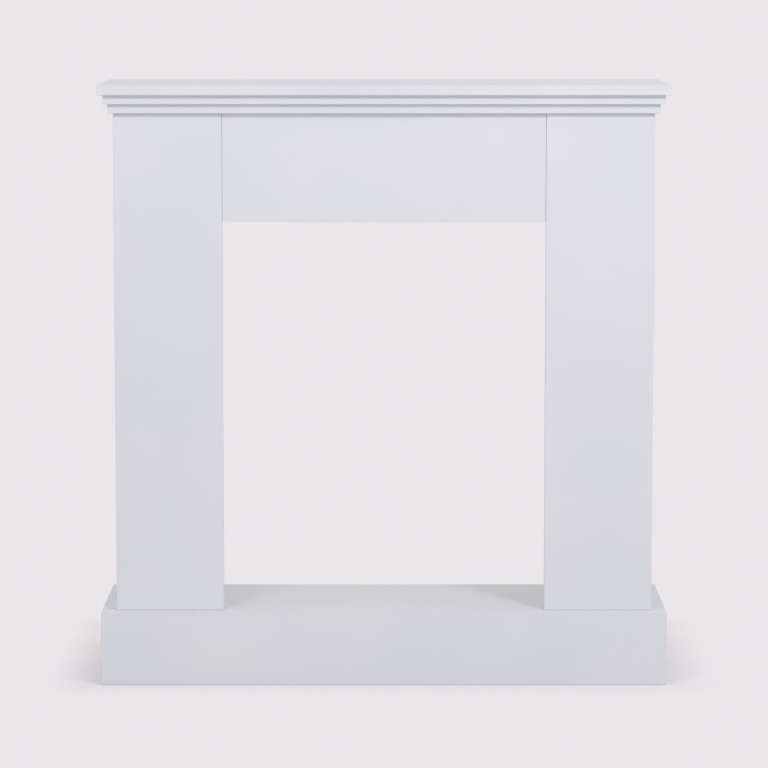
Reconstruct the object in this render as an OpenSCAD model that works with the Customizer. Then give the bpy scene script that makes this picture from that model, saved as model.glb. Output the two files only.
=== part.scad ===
// Free-standing fireplace mantelpiece, built of flat boards.
// Two plain legs and a header stand on a hollow plinth and carry a stepped cornice and a shelf.
// Origin on the floor at the middle of the footprint, the room side towards -Y, +Z up.

/* [Overall] */
// Width of the shelf and of the plinth
mantel_w = 1000; // [800:10:1400]
// Depth of the shelf and of the plinth
mantel_d = 300; // [220:10:400]
// Height from the floor to the top of the shelf
mantel_h = 1060; // [900:10:1300]

/* [Boards] */
// Thickness of every board except the shelf
board_t = 16; // [12:1:22]
// Thickness of the shelf
shelf_t = 18; // [16:1:30]
// Width taken off each outer arris
ease = 1; // [0.4:0.2:2]

/* [Plinth] */
// Height of the plinth
plinth_h = 130; // [80:5:200]

/* [Legs and header] */
// How far the legs stand in from the front and the ends of the plinth
leg_inset = 26; // [24:1:60]
// Width of the front board of each leg
leg_w = 190; // [120:5:240]
// Height of the header board
header_h = 190; // [120:5:260]
// How far the face of the header lies behind the faces of the legs
header_recess = 1.5; // [0:0.5:6]
// Gap between the header and each leg
header_gap = 0.2; // [0.1:0.1:2]

/* [Cornice] */
// How far the lower step stands out from the legs
lower_step_out = 9; // [4:1:12]
// How far the upper step stands out from the lower step
upper_step_out = 8; // [4:1:10]
// Width of the battens of the lower step
batten_w = 44; // [36:1:60]

/* [Hidden] */

lacquer = [0.85, 0.85, 0.87];
bare_back = [0.78, 0.77, 0.75];

half_w = mantel_w / 2;
front_y = -mantel_d / 2;
back_y = mantel_d / 2;

leg_x = half_w - leg_inset;
leg_y = front_y + leg_inset;
opening_x = leg_x - leg_w;

// Levels, counted down from the top of the shelf
shelf_z = mantel_h - shelf_t;
upper_step_z = shelf_z - board_t;
lower_step_z = upper_step_z - board_t;
header_z = lower_step_z - header_h;

// Outer faces of the two steps, and the inner edge that their battens share
lower_step_x = leg_x + lower_step_out;
lower_step_y = leg_y - lower_step_out;
upper_step_x = lower_step_x + upper_step_out;
upper_step_y = lower_step_y - upper_step_out;
batten_x = lower_step_x - batten_w;
batten_y = lower_step_y + batten_w;

// Inner faces of the boards of the plinth
plinth_in_x = half_w - board_t;
plinth_in_y = front_y + board_t;
plinth_in_z = plinth_h - board_t;

// A rectangle with its four corners taken off at 45 degrees
module eased_rect(low, high) {
    polygon([
        [low[0] + ease, low[1]],
        [high[0] - ease, low[1]],
        [high[0], low[1] + ease],
        [high[0], high[1] - ease],
        [high[0] - ease, high[1]],
        [low[0] + ease, high[1]],
        [low[0], high[1] - ease],
        [low[0], low[1] + ease]
    ]);
}

// Children drawn as seen from the front, in X and Z, and carried from y0 back to y1
module run_y(y0, y1) {
    translate([0, y1, 0])
        rotate([90, 0, 0])
            linear_extrude(y1 - y0)
                children();
}

// Children drawn as seen from the end, in Y and Z, and carried from x0 to x1
module run_x(x0, x1) {
    translate([x0, 0, 0])
        rotate([90, 0, 90])
            linear_extrude(x1 - x0)
                children();
}

// Children drawn as seen from above, in X and Y, and carried from z0 up to z1
module run_z(z0, z1) {
    translate([0, 0, z0])
        linear_extrude(z1 - z0)
            children();
}

// A block between two corners with all its arrises eased
module eased_block(low, high) {
    intersection() {
        run_x(low[0], high[0])
            eased_rect([low[1], low[2]], [high[1], high[2]]);
        run_y(low[1], high[1])
            eased_rect([low[0], low[2]], [high[0], high[2]]);
        run_z(low[2], high[2])
            eased_rect([low[0], low[1]], [high[0], high[1]]);
    }
}

// Plan of a front board whose ends are mitred back to its inner face
module front_plan(outer_x, outer_y, inner_x, inner_y) {
    polygon([
        [-outer_x, outer_y],
        [outer_x, outer_y],
        [inner_x, inner_y],
        [-inner_x, inner_y]
    ]);
}

// Plan of the right-hand return that meets such a front board
module return_plan(outer_x, outer_y, inner_x, inner_y) {
    polygon([
        [outer_x, outer_y],
        [outer_x, back_y],
        [inner_x, back_y],
        [inner_x, inner_y]
    ]);
}

// The left-hand piece of a pair, made from the right-hand one
module left_hand() {
    mirror([1, 0, 0])
        children();
}

module mantel_shelf() {
    color(lacquer)
        eased_block([-half_w, front_y, shelf_z], [half_w, back_y, mantel_h]);
}

// The front batten of a step that reaches out to outer_x and outer_y
module step_front(outer_x, outer_y, z0) {
    z1 = z0 + board_t;
    color(lacquer)
        intersection() {
            eased_block([-outer_x, outer_y, z0], [outer_x, back_y, z1]);
            run_z(z0, z1)
                front_plan(outer_x, outer_y, batten_x, batten_y);
        }
}

// The right-hand return batten of the same step
module step_return(outer_x, outer_y, z0) {
    z1 = z0 + board_t;
    color(lacquer)
        intersection() {
            eased_block([-outer_x, outer_y, z0], [outer_x, back_y, z1]);
            run_z(z0, z1)
                return_plan(outer_x, outer_y, batten_x, batten_y);
        }
}

module upper_step_front() {
    step_front(upper_step_x, upper_step_y, upper_step_z);
}

module upper_step_right() {
    step_return(upper_step_x, upper_step_y, upper_step_z);
}

module upper_step_left() {
    left_hand()
        upper_step_right();
}

module lower_step_front() {
    step_front(lower_step_x, lower_step_y, lower_step_z);
}

module lower_step_right() {
    step_return(lower_step_x, lower_step_y, lower_step_z);
}

module lower_step_left() {
    left_hand()
        lower_step_right();
}

module header_board() {
    x1 = opening_x - header_gap;
    y0 = leg_y + header_recess;
    color(lacquer)
        eased_block([-x1, y0, header_z], [x1, y0 + board_t, lower_step_z]);
}

// The whole outline of the right-hand leg, which its two boards are cut from
module leg_block() {
    eased_block([opening_x, leg_y, plinth_h], [leg_x, back_y, lower_step_z]);
}

module right_leg_front() {
    color(lacquer)
        intersection() {
            leg_block();
            run_z(plinth_h, lower_step_z)
                polygon([
                    [opening_x, leg_y],
                    [leg_x, leg_y],
                    [leg_x - board_t, leg_y + board_t],
                    [opening_x, leg_y + board_t]
                ]);
        }
}

module right_leg_side() {
    color(lacquer)
        intersection() {
            leg_block();
            run_z(plinth_h, lower_step_z)
                return_plan(leg_x, leg_y, leg_x - board_t, leg_y + board_t);
        }
}

module left_leg_front() {
    left_hand()
        right_leg_front();
}

module left_leg_side() {
    left_hand()
        right_leg_side();
}

// The whole outline of the plinth, which its boards are cut from
module plinth_block() {
    eased_block([-half_w, front_y, 0], [half_w, back_y, plinth_h]);
}

// The top is mitred to the front and to both ends, and laps over the back
module plinth_top() {
    color(lacquer)
        intersection() {
            plinth_block();
            run_y(front_y, back_y)
                polygon([
                    [-half_w, plinth_h],
                    [half_w, plinth_h],
                    [plinth_in_x, plinth_in_z],
                    [-plinth_in_x, plinth_in_z]
                ]);
            run_x(-half_w, half_w)
                polygon([
                    [front_y, plinth_h],
                    [back_y, plinth_h],
                    [back_y, plinth_in_z],
                    [plinth_in_y, plinth_in_z]
                ]);
        }
}

module plinth_front() {
    color(lacquer)
        intersection() {
            plinth_block();
            run_z(0, plinth_h)
                front_plan(half_w, front_y, plinth_in_x, plinth_in_y);
            run_x(-half_w, half_w)
                polygon([
                    [front_y, 0],
                    [front_y, plinth_h],
                    [plinth_in_y, plinth_in_z],
                    [plinth_in_y, 0]
                ]);
        }
}

module plinth_right_side() {
    color(lacquer)
        intersection() {
            plinth_block();
            run_z(0, plinth_h)
                return_plan(half_w, front_y, plinth_in_x, plinth_in_y);
            run_y(front_y, back_y)
                polygon([
                    [half_w, 0],
                    [half_w, plinth_h],
                    [plinth_in_x, plinth_in_z],
                    [plinth_in_x, 0]
                ]);
        }
}

module plinth_left_side() {
    left_hand()
        plinth_right_side();
}

module plinth_back() {
    color(bare_back)
        eased_block([-plinth_in_x, back_y - board_t, 0], [plinth_in_x, back_y, plinth_in_z]);
}

mantel_shelf();
upper_step_front();
upper_step_left();
upper_step_right();
lower_step_front();
lower_step_left();
lower_step_right();
header_board();
left_leg_front();
left_leg_side();
right_leg_front();
right_leg_side();
plinth_top();
plinth_front();
plinth_left_side();
plinth_right_side();
plinth_back();
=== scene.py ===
# %% [markdown]
# A white fireplace mantelpiece, board by board
#
# The real thing is flat board work: legs, a header, a hollow plinth, a stepped cornice and a shelf, all
# cut from MDF and sprayed with a cool white satin lacquer. There is nothing to hide behind, so its looks
# come from three small things: arrises that are slightly round, joints that close to a hairline, and a
# lacquer that is never quite flat or quite even. This lesson makes those three things with bmesh and
# shader nodes.

# %% Load the frame
import math

import bmesh
import bpy
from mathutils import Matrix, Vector


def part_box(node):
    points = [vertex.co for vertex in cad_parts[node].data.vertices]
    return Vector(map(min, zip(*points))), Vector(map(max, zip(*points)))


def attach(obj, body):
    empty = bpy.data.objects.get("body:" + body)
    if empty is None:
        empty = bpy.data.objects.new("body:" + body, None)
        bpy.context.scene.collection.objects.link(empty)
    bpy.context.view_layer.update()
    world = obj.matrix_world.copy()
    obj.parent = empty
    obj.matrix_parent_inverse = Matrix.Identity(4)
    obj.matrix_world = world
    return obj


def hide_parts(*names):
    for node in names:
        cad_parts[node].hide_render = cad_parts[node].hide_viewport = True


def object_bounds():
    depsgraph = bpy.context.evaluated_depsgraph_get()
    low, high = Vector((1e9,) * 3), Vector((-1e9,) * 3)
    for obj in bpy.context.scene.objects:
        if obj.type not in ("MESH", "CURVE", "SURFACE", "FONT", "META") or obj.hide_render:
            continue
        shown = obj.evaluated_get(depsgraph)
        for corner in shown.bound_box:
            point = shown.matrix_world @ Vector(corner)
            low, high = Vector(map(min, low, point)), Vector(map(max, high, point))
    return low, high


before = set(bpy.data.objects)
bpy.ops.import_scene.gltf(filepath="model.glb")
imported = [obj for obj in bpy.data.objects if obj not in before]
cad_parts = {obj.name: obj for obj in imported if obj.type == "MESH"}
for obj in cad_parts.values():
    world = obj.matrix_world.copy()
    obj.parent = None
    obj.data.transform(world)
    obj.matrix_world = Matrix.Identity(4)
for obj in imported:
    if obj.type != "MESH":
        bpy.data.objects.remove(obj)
cad_low, cad_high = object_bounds()
print("CAD boards:", len(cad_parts), "in a box", list(cad_low), list(cad_high))

# %% [markdown]
# The camera
#
# A long lens from a good way back keeps the uprights nearly parallel and still shows the top of the
# plinth. The camera stands a little above the shelf and looks down at the middle of the front.

# %% Camera
CAMERA_BACK = 6.5
CAMERA_HEIGHT = 1.290
CAMERA_AIM_HEIGHT = 0.537
LENS_MM = 174.8
SENSOR_MM = 36.0

front_y = cad_low[1]
camera_data = bpy.data.cameras.new("studio_camera")
camera_data.lens = LENS_MM
camera_data.sensor_width = SENSOR_MM
camera = bpy.data.objects.new("studio_camera", camera_data)
bpy.context.scene.collection.objects.link(camera)
camera.location = Vector((0.0, front_y - CAMERA_BACK, CAMERA_HEIGHT))
look = Vector((0.0, front_y, CAMERA_AIM_HEIGHT)) - camera.location
camera.rotation_euler = look.to_track_quat("-Z", "Y").to_euler()
bpy.context.scene.camera = camera
print("camera", round(math.degrees(math.asin(-look.normalized().z)), 2), "degrees down, lens", LENS_MM)

# %% [markdown]
# The shared surface group
#
# Both finishes here are sprayed, so both are uneven in the same ways: slow clouds where the gun
# overlapped, a finer mottle, and the tiny ripple called orange peel. One node group makes these as plain
# values, and each material decides what they do to its colour, its gloss and its bump.

# %% Node helpers
def link(tree, source, target):
    tree.links.new(source, target)


def noise(tree, vector, per_m, detail):
    """A noise pattern on a vector in metres, with about this many swells in each metre."""
    node = tree.nodes.new("ShaderNodeTexNoise")
    node.inputs["Scale"].default_value = per_m
    node.inputs["Detail"].default_value = detail
    link(tree, vector, node.inputs["Vector"])
    return node.outputs["Fac"]


def remap(tree, value, low, high, to_low=0.0, to_high=1.0):
    """Carries a value over from one range to another, and holds it at the ends of the new one."""
    node = tree.nodes.new("ShaderNodeMapRange")
    node.inputs["From Min"].default_value = low
    node.inputs["From Max"].default_value = high
    node.inputs["To Min"].default_value = to_low
    node.inputs["To Max"].default_value = to_high
    link(tree, value, node.inputs["Value"])
    return node.outputs["Result"]


# %% The sprayed surface group
CLOUDS_PER_M = 4.5
CLOUD_DETAIL = 2.0
MOTTLE_PER_M = 38.0
MOTTLE_DETAIL = 3.0
PEEL_PER_M = 450.0
PEEL_DETAIL = 2.0

# Noise rarely leaves the middle of its range, so this much of it is stretched to the whole
NOISE_LOW = 0.3
NOISE_HIGH = 0.7

sprayed = bpy.data.node_groups.new("sprayed_surface", "ShaderNodeTree")
sprayed.interface.new_socket("Vector", in_out="INPUT", socket_type="NodeSocketVector")
peel_in = sprayed.interface.new_socket("Peel per metre", in_out="INPUT", socket_type="NodeSocketFloat")
peel_in.default_value = PEEL_PER_M
for output in ("Cloud", "Mottle", "Peel"):
    sprayed.interface.new_socket(output, in_out="OUTPUT", socket_type="NodeSocketFloat")

group_in = sprayed.nodes.new("NodeGroupInput")
group_out = sprayed.nodes.new("NodeGroupOutput")
cloud = noise(sprayed, group_in.outputs["Vector"], CLOUDS_PER_M, CLOUD_DETAIL)
mottle = noise(sprayed, group_in.outputs["Vector"], MOTTLE_PER_M, MOTTLE_DETAIL)
peel = noise(sprayed, group_in.outputs["Vector"], PEEL_PER_M, PEEL_DETAIL)
link(sprayed, group_in.outputs["Peel per metre"], peel.node.inputs["Scale"])
link(sprayed, remap(sprayed, cloud, NOISE_LOW, NOISE_HIGH), group_out.inputs["Cloud"])
link(sprayed, remap(sprayed, mottle, NOISE_LOW, NOISE_HIGH), group_out.inputs["Mottle"])
link(sprayed, peel, group_out.inputs["Peel"])
print("group", sprayed.name, "with", len(sprayed.nodes), "nodes")

# %% [markdown]
# The finishes
#
# White lacquer on MDF is a cool white, satin rather than gloss, with slow clouds that are a touch greyer
# and bluer. The upper arris of each board is painted a shade darker, a painted shade that damps the light
# it catches from above, and the free lower edge of the header is painted a shade whiter, a painted
# highlight. Faces on those arrises carry marks that the material reads. The sides that nobody sees get one
# thin coat of primer, which is warmer, matt and rougher.

# %% A finish from the group
# Marks for the painted shade on upper arrises and the painted highlight on the header's lower arris
UPPER_ARRIS_PAINTED_SHADE = "upper_arris_painted_shade"
LOWER_ARRIS_PAINTED_HIGHLIGHT = "lower_arris_painted_highlight"


def mix_colour(tree, factor, colour_a, colour_b):
    """Goes from one colour to another as the factor rises. Each is a socket or three plain numbers."""
    node = tree.nodes.new("ShaderNodeMix")
    node.data_type = "RGBA"
    for socket, colour in (("A", colour_a), ("B", colour_b)):
        target = next(s for s in node.inputs if s.name == socket and s.type == "RGBA")
        if isinstance(colour, bpy.types.NodeSocket):
            link(tree, colour, target)
        else:
            target.default_value = (*colour, 1.0)
    link(tree, factor, node.inputs[0])
    return next(s for s in node.outputs if s.type == "RGBA")


def sprayed_finish(name, light, dark, painted_shade, painted_highlight, gloss, peel_per_m, peel_depth, peel_strength):
    """A coat whose colour, roughness and bump come from the sprayed surface group, with painted shade and
    painted highlight on the marked arrises.
    """
    material = bpy.data.materials.new(name)
    material.use_nodes = True
    tree = material.node_tree
    shader = tree.nodes["Principled BSDF"]
    place = tree.nodes.new("ShaderNodeTexCoord")
    coat = tree.nodes.new("ShaderNodeGroup")
    coat.node_tree = sprayed
    coat.inputs["Peel per metre"].default_value = peel_per_m
    link(tree, place.outputs["Object"], coat.inputs["Vector"])

    colour = mix_colour(tree, coat.outputs["Cloud"], light, dark)
    # The marked arrises take the painted shade and painted highlight colours
    for mark_name, painted_light_colour in ((UPPER_ARRIS_PAINTED_SHADE, painted_shade), (LOWER_ARRIS_PAINTED_HIGHLIGHT, painted_highlight)):
        mark = tree.nodes.new("ShaderNodeAttribute")
        mark.attribute_name = mark_name
        colour = mix_colour(tree, mark.outputs["Fac"], colour, painted_light_colour)
    link(tree, colour, shader.inputs["Base Color"])
    link(tree, remap(tree, coat.outputs["Mottle"], 0.0, 1.0, *gloss), shader.inputs["Roughness"])

    bump = tree.nodes.new("ShaderNodeBump")
    bump.inputs["Strength"].default_value = peel_strength
    bump.inputs["Distance"].default_value = peel_depth
    link(tree, coat.outputs["Peel"], bump.inputs["Height"])
    link(tree, bump.outputs["Normal"], shader.inputs["Normal"])
    return material


# %% The two finishes
lacquer = sprayed_finish(
    "white_satin_lacquer",
    light=(0.804, 0.805, 0.849),
    dark=(0.774, 0.782, 0.842),
    # Painted shade on the upper arrises, and a painted highlight on the header's lower arris
    painted_shade=(0.735, 0.738, 0.775),
    painted_highlight=(0.930, 0.935, 0.960),
    gloss=(0.38, 0.50),
    peel_per_m=PEEL_PER_M,
    peel_depth=0.0001,
    peel_strength=0.25,
)
primer = sprayed_finish(
    "matt_primer",
    light=(0.775, 0.768, 0.758),
    dark=(0.738, 0.730, 0.716),
    # Painted shade colour for upper arrises, as on the lacquer
    painted_shade=(0.650, 0.620, 0.575),
    painted_highlight=(0.775, 0.768, 0.758),
    gloss=(0.72, 0.86),
    peel_per_m=2 * PEEL_PER_M,
    peel_depth=0.0002,
    peel_strength=0.35,
)
print("finishes", lacquer.name, primer.name)

# %% [markdown]
# How a board is made
#
# Every board starts as part of a solid block, as if the leg or the plinth were one lump. The block's
# arrises are rounded first, and then planes slice the board out of it. That way two boards that meet at a
# mitre share one arris, half each, and the joint lies exactly on the corner, as it does in the real work.
# The fresh cut edges then get a bevel as thin as a hair, which is what shows as the joint line.

# %% Blocks and cuts
ARRIS_RADIUS = 0.0013
ARRIS_STEPS = 4
HAIRLINE = 0.00012
HAIRLINE_STEPS = 2
SHARP_ANGLE = math.radians(34)
ON_THE_PLANE = 1e-7


def block(low, high):
    """A closed box between two corners, with all its arrises rounded."""
    bm = bmesh.new()
    bmesh.ops.create_cube(bm, size=1.0)
    bmesh.ops.scale(bm, vec=high - low, verts=bm.verts)
    bmesh.ops.translate(bm, vec=(low + high) / 2, verts=bm.verts)
    bmesh.ops.bevel(
        bm,
        geom=bm.edges[:],
        offset=ARRIS_RADIUS,
        affect="EDGES",
        segments=ARRIS_STEPS,
        profile=0.5,
        material=-1,
    )
    return bm


def slice_off(bm, point, normal):
    """Takes away what lies on the normal's side of a plane, and closes the cut."""
    geom = bm.verts[:] + bm.edges[:] + bm.faces[:]
    cut = bmesh.ops.bisect_plane(
        bm, geom=geom, dist=ON_THE_PLANE, plane_co=point, plane_no=normal, clear_outer=True
    )
    rim = [part for part in cut["geom_cut"] if isinstance(part, bmesh.types.BMEdge)]
    bmesh.ops.holes_fill(bm, edges=rim, sides=0)


def soften_cuts(bm):
    """Gives the sharp edges that the cuts left a bevel as thin as a hair."""
    sharp = [edge for edge in bm.edges if edge.calc_face_angle(0.0) > SHARP_ANGLE]
    if sharp:
        bmesh.ops.bevel(
            bm,
            geom=sharp,
            offset=HAIRLINE,
            affect="EDGES",
            segments=HAIRLINE_STEPS,
            profile=0.5,
            material=-1,
        )


# %% From bmesh to a finished board
FLAT_ENOUGH = 0.999
OVER_THE_ARRIS = 0.1
LARGE_FACES_WIN = 100
BOARD_MATERIALS = (lacquer, primer)
boards = []


def finish_board(bm, node, primed=(), painted_highlight_below=False):
    """Turns a bmesh into the piece that stands for a CAD node.

    Faces that look along a primed direction are left in primer. The upper arrises are marked for a painted
    shade, and the lower ones of a board with painted_highlight_below are marked for a painted highlight.
    """
    painted_shade = bm.faces.layers.float.new(UPPER_ARRIS_PAINTED_SHADE)
    painted_highlight = bm.faces.layers.float.new(LOWER_ARRIS_PAINTED_HIGHLIGHT)
    for face in bm.faces:
        face.smooth = True
        rounded = abs(face.normal.z) < FLAT_ENOUGH
        # Upper arrises take a painted shade that damps the light they catch from above
        face[painted_shade] = float(rounded and face.normal.z > OVER_THE_ARRIS)
        # Lower arrises of a board with painted_highlight_below take a painted highlight
        face[painted_highlight] = float(painted_highlight_below and rounded and face.normal.z < -OVER_THE_ARRIS)
        if any(face.normal.dot(Vector(way)) > FLAT_ENOUGH for way in primed):
            face.material_index = BOARD_MATERIALS.index(primer)
    mesh = bpy.data.meshes.new(node + "_board")
    bm.to_mesh(mesh)
    bm.free()
    for material in BOARD_MATERIALS:
        mesh.materials.append(material)
    board = bpy.data.objects.new(node + "_board", mesh)
    bpy.context.scene.collection.objects.link(board)
    weighted = board.modifiers.new("weighted_normals", "WEIGHTED_NORMAL")
    weighted.mode = "FACE_AREA"
    weighted.weight = LARGE_FACES_WIN
    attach(board, "root")
    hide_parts(node)
    boards.append(board)
    return board


def box_of(*nodes):
    """The box that holds several CAD nodes."""
    corners = [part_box(node) for node in nodes]
    low = Vector([min(corner[0][i] for corner in corners) for i in range(3)])
    high = Vector([max(corner[1][i] for corner in corners) for i in range(3)])
    return low, high


# %% Sides and directions
LEFT, RIGHT = -1, 1
SIDES = {"left": LEFT, "right": RIGHT}
INWARD = {LEFT: (1, 0, 0), RIGHT: (-1, 0, 0)}
FORWARD = (0, -1, 0)
BACKWARD = (0, 1, 0)
DOWNWARD = (0, 0, -1)

# %% [markdown]
# The shelf
#
# One thick board, with the same outline as the plinth below it. It needs no cuts, only its rounded
# arrises.

# %% Shelf
shelf = finish_board(block(*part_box("mantel_shelf")), "mantel_shelf")
print("shelf", len(shelf.data.polygons), "faces")

# %% [markdown]
# The stepped cornice
#
# Under the shelf two steps of batten draw in towards the legs. Each step is three battens, one along the
# front and one back along each side, and they are mitred where they meet. The mitre runs at 45 degrees
# through the outer corner, because the battens of a step are all one width.

# %% Cornice steps
def mitre(side, corner_x, corner_y):
    """A point on the upright 45 degree plane at a front corner, and its normal towards the return."""
    return Vector((side * corner_x, corner_y, 0.0)), Vector((side, 1.0, 0.0))


def make_step(step):
    """Cuts the three battens of one step out of the block that they fill together."""
    names = [f"{step}_{part}" for part in ("front", "left", "right")]
    low, high = box_of(*names)
    inner_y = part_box(names[0])[1].y
    inner_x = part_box(names[2])[0].x

    front = block(low, high)
    slice_off(front, (0, inner_y, 0), BACKWARD)
    for side in SIDES.values():
        slice_off(front, *mitre(side, high.x, low.y))
    soften_cuts(front)
    finish_board(front, names[0], primed=[BACKWARD])

    for word, side in SIDES.items():
        point, normal = mitre(side, high.x, low.y)
        batten = block(low, high)
        slice_off(batten, (side * inner_x, 0, 0), INWARD[side])
        slice_off(batten, point, -normal)
        soften_cuts(batten)
        finish_board(batten, f"{step}_{word}", primed=[BACKWARD, INWARD[side]])


for step in ("upper_step", "lower_step"):
    make_step(step)
print("cornice", len(boards) - 1, "battens")

# %% [markdown]
# The legs and the header
#
# Each leg is a wide front board mitred to a side board that runs back to the wall, open behind. The
# header drops in between the legs a touch behind their faces. Its rounded ends and theirs leave the fine
# dark line that shows on either side of it.

# %% Legs
def make_leg(word, side):
    """Cuts the two boards of one leg out of the block that they stand in."""
    front_node, side_node = f"{word}_leg_front", f"{word}_leg_side"
    low, high = box_of(front_node, side_node)
    inner_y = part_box(front_node)[1].y
    side_low, side_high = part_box(side_node)
    outer_x = max(abs(side_low.x), abs(side_high.x))
    inner_x = min(abs(side_low.x), abs(side_high.x))
    point, normal = mitre(side, outer_x, low.y)

    front = block(low, high)
    slice_off(front, (0, inner_y, 0), BACKWARD)
    slice_off(front, point, normal)
    soften_cuts(front)
    finish_board(front, front_node, primed=[BACKWARD])

    flank = block(low, high)
    slice_off(flank, (side * inner_x, 0, 0), INWARD[side])
    slice_off(flank, point, -normal)
    soften_cuts(flank)
    finish_board(flank, side_node, primed=[BACKWARD, INWARD[side]])


for word, side in SIDES.items():
    make_leg(word, side)

# %% Header
# Its free lower arris is painted a shade whiter, a painted highlight
finish_board(block(*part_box("header_board")), "header_board", primed=[BACKWARD], painted_highlight_below=True)
print("legs and header, so far", len(boards), "boards")

# %% [markdown]
# The plinth
#
# The plinth is a shallow box without a bottom. Its top, front and ends are mitred where they meet, so
# from the room no board shows its edge, and a plain back board closes it below the top.

# %% Mitres of the plinth
PLINTH = ("plinth_top", "plinth_front", "plinth_left_side", "plinth_right_side", "plinth_back")
plinth_low, plinth_high = box_of(*PLINTH)
under_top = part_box("plinth_top")[0].z
behind_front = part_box("plinth_front")[1].y
inside_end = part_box("plinth_right_side")[0].x

# Planes on the mitres along the rim, each with its normal out of the top board
front_rim = (Vector((0, plinth_low.y, plinth_high.z)), Vector((0, -1, -1)))
end_rims = {}
for side in SIDES.values():
    end_rims[side] = (Vector((side * plinth_high.x, 0, plinth_high.z)), Vector((side, 0, -1)))
print("plinth", list(plinth_high - plinth_low))

# %% Top and front of the plinth
top = block(plinth_low, plinth_high)
slice_off(top, (0, 0, under_top), DOWNWARD)
slice_off(top, *front_rim)
for side in SIDES.values():
    slice_off(top, *end_rims[side])
soften_cuts(top)
finish_board(top, "plinth_top", primed=[BACKWARD, DOWNWARD])

front = block(plinth_low, plinth_high)
slice_off(front, (0, behind_front, 0), BACKWARD)
slice_off(front, front_rim[0], -front_rim[1])
for side in SIDES.values():
    slice_off(front, *mitre(side, plinth_high.x, plinth_low.y))
soften_cuts(front)
finish_board(front, "plinth_front", primed=[BACKWARD])

# %% Ends and back of the plinth
for word, side in SIDES.items():
    point, normal = mitre(side, plinth_high.x, plinth_low.y)
    end = block(plinth_low, plinth_high)
    slice_off(end, (side * inside_end, 0, 0), INWARD[side])
    slice_off(end, end_rims[side][0], -end_rims[side][1])
    slice_off(end, point, -normal)
    soften_cuts(end)
    finish_board(end, f"plinth_{word}_side", primed=[BACKWARD, INWARD[side]])

back_block = block(*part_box("plinth_back"))
back = finish_board(back_block, "plinth_back", primed=[BACKWARD, FORWARD, DOWNWARD])
print("all boards", len(boards))

# %% [markdown]
# The studio
#
# A plain pale floor in a plain pale room. The paper is matched to the wall, so where nothing shades it
# the two look alike, and all the shade on it is what the lamps and the room really leave under and beside
# the piece. The sheet reaches further behind than in front, and its alpha fades out evenly on both sides,
# so it has no edge. To light that bounces off it the paper is duller, which keeps the foot of the plinth
# from glowing.

# %% Floor
PALE = (0.823, 0.791, 0.815)
PAPER = (0.900, 0.865, 0.891)
DULL_PAPER = (0.70, 0.68, 0.70)
FLOOR_RADIUS = 1.4
FLOOR_SEGMENTS = 96
SHEET_BACK = 0.15
GONE_AT = 0.11


def vector_math(tree, operation, a, b=(0.0, 0.0, 0.0)):
    """One step of vector arithmetic. Each input is a socket or three plain numbers."""
    node = tree.nodes.new("ShaderNodeVectorMath")
    node.operation = operation
    for socket, value in zip(node.inputs, (a, b)):
        if isinstance(value, bpy.types.NodeSocket):
            link(tree, value, socket)
        else:
            socket.default_value = value
    return node.outputs["Value" if operation == "LENGTH" else "Vector"]


bm = bmesh.new()
bmesh.ops.create_circle(bm, cap_ends=True, segments=FLOOR_SEGMENTS, radius=FLOOR_RADIUS)
floor_mesh = bpy.data.meshes.new("studio_floor")
bm.to_mesh(floor_mesh)
bm.free()
floor = bpy.data.objects.new("studio_floor", floor_mesh)
bpy.context.scene.collection.objects.link(floor)

paper = bpy.data.materials.new("floor_paper")
paper.use_nodes = True
tree = paper.node_tree
shader = tree.nodes["Principled BSDF"]
seen = tree.nodes.new("ShaderNodeLightPath").outputs["Is Camera Ray"]
link(tree, mix_colour(tree, seen, DULL_PAPER, PAPER), shader.inputs["Base Color"])
shader.inputs["Roughness"].default_value = 1.0
shader.inputs["Specular IOR Level"].default_value = 0.0
place = tree.nodes.new("ShaderNodeTexCoord")
middle = vector_math(tree, "SUBTRACT", place.outputs["Object"], (0.0, SHEET_BACK, 0.0))
sheet = (cad_high[0], cad_high[1] + SHEET_BACK, 0.0)
past = vector_math(tree, "SUBTRACT", vector_math(tree, "ABSOLUTE", middle), sheet)
clear_of = vector_math(tree, "LENGTH", vector_math(tree, "MAXIMUM", past))
fade = remap(tree, clear_of, 0.0, GONE_AT, 1.0, 0.0)
fade.node.interpolation_type = "SMOOTHSTEP"
link(tree, fade, shader.inputs["Alpha"])
floor_mesh.materials.append(paper)
print("floor", len(floor_mesh.vertices), "points round a disc")

# %% Room
SKY_STRENGTH = 0.695
BOUNCE_STRENGTH = 0.645
HORIZON_BLUR = 0.02

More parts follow.
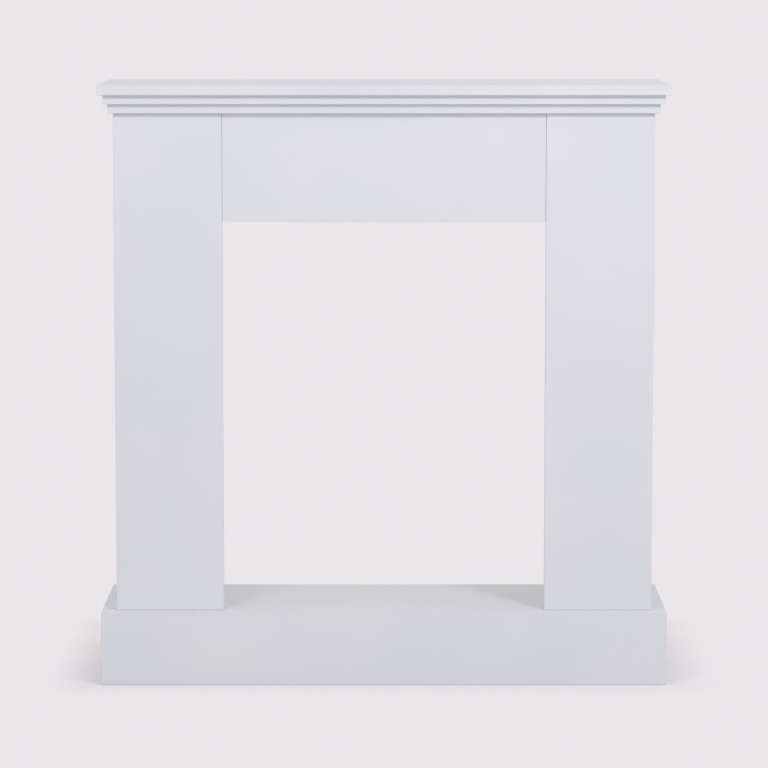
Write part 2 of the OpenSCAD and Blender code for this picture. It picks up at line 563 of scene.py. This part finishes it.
world = bpy.data.worlds.new("pale_room")
bpy.context.scene.world = world
world.use_nodes = True
tree = world.node_tree
tree.nodes.clear()
ray = tree.nodes.new("ShaderNodeLightPath")
way = tree.nodes.new("ShaderNodeTexCoord")
parts = tree.nodes.new("ShaderNodeSeparateXYZ")
link(tree, way.outputs["Generated"], parts.inputs["Vector"])
horizon = remap(tree, parts.outputs["Z"], -HORIZON_BLUR, HORIZON_BLUR, BOUNCE_STRENGTH, SKY_STRENGTH)
glow = tree.nodes.new("ShaderNodeBackground")
glow.inputs["Color"].default_value = (1.0, 1.0, 1.0, 1.0)
link(tree, horizon, glow.inputs["Strength"])
wall = tree.nodes.new("ShaderNodeBackground")
wall.inputs["Color"].default_value = (*PALE, 1.0)
choose = tree.nodes.new("ShaderNodeMixShader")
out = tree.nodes.new("ShaderNodeOutputWorld")
link(tree, ray.outputs["Is Camera Ray"], choose.inputs["Fac"])
link(tree, glow.outputs["Background"], choose.inputs[1])
link(tree, wall.outputs["Background"], choose.inputs[2])
link(tree, choose.outputs["Shader"], out.inputs["Surface"])
print("room glow", BOUNCE_STRENGTH, "below the horizon and", SKY_STRENGTH, "above it")

# %% Lights
LAMP_AIM = Vector((0.0, front_y, 0.9))
LAMP_SIZE = 0.45
LAMP_FORWARD = 2.02
LAMP_HEIGHT = 2.48


def softbox(name, across, watts):
    """A square soft light in front, off to one side, that points at the upper middle of the front."""
    data = bpy.data.lights.new(name, "AREA")
    data.shape = "SQUARE"
    data.size = LAMP_SIZE
    data.energy = watts
    lamp = bpy.data.objects.new(name, data)
    bpy.context.scene.collection.objects.link(lamp)
    lamp.location = Vector((across, front_y - LAMP_FORWARD, LAMP_HEIGHT))
    lamp.rotation_euler = (LAMP_AIM - lamp.location).to_track_quat("-Z", "Y").to_euler()
    print(name, "at", list(lamp.location), "with", watts, "watts")


softbox("right_softbox", across=1.46, watts=20.5)
softbox("left_softbox", across=-1.03, watts=10.5)
bpy.context.scene.view_settings.view_transform = "Standard"
bpy.context.scene.view_settings.look = "None"
